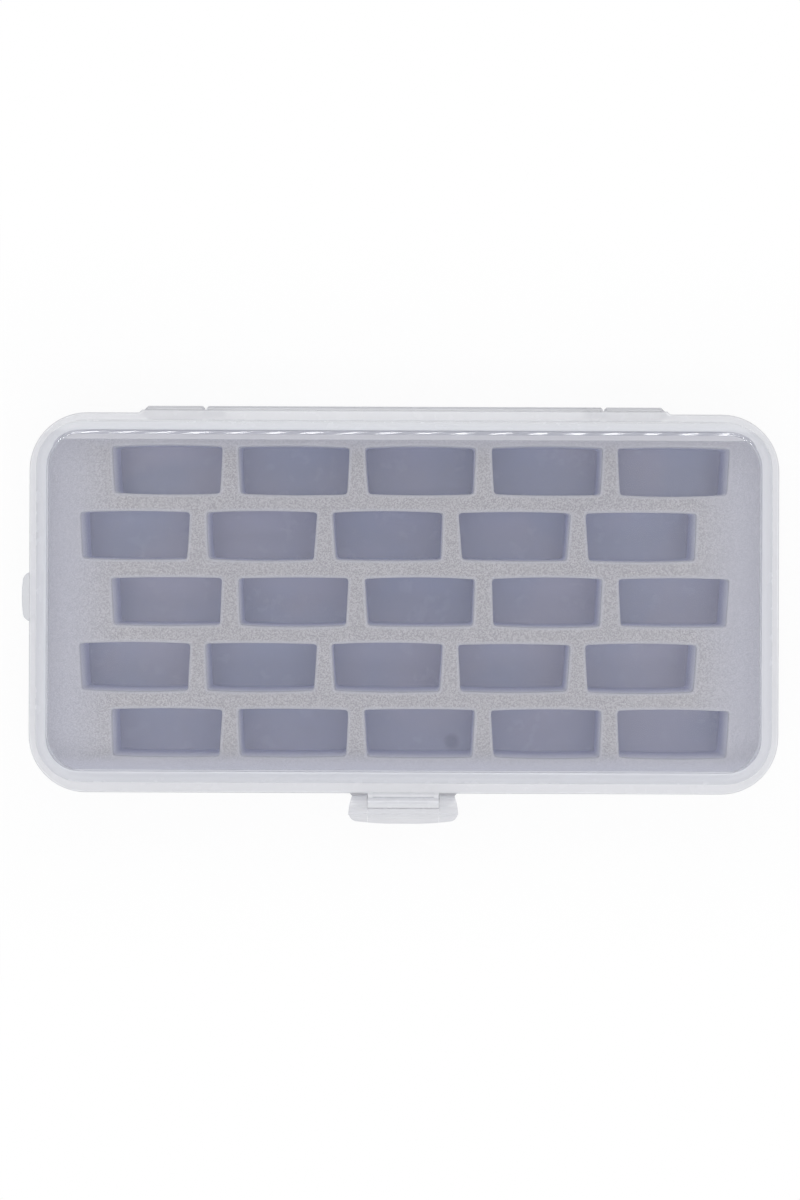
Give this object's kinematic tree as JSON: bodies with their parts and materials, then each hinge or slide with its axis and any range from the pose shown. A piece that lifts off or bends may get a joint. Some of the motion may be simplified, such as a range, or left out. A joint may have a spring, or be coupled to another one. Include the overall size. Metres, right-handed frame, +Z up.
{
  "type": "bobbin storage box",
  "caption": "Shallow hinged case of clear frosted plastic with a front snap latch, over a foam block with a slot for each bobbin.",
  "frame": {"origin": "centre of the flat underside of the base", "axes": "+X along the case to the right, +Y to the hinge at the back, +Z up through the lid"},
  "size_m": [0.1813, 0.1006, 0.033],
  "materials": {
    "case_plastic": "satin",
    "lid_plastic": "satin",
    "latch_plastic": "satin",
    "foam": "matte"
  },
  "bodies": {
    "case": {"base_shell": "case_plastic", "foam_insert": "foam"},
    "lid": {"lid_shell": "lid_plastic"},
    "latch": {"front_latch": "latch_plastic"}
  },
  "joints": [
    {"name": "lid_hinge", "type": "hinge", "parent": "case", "child": "lid", "pos_m": [0, 0.04512, 0.0171], "axis": [-1, 0, 0], "range_deg": [0, 180]},
    {"name": "latch_pivot", "type": "hinge", "parent": "lid", "child": "latch", "pos_m": [0, -0.04788, 0.02], "axis": [-1, 0, 0], "range_deg": [0, 110]}
  ]
}
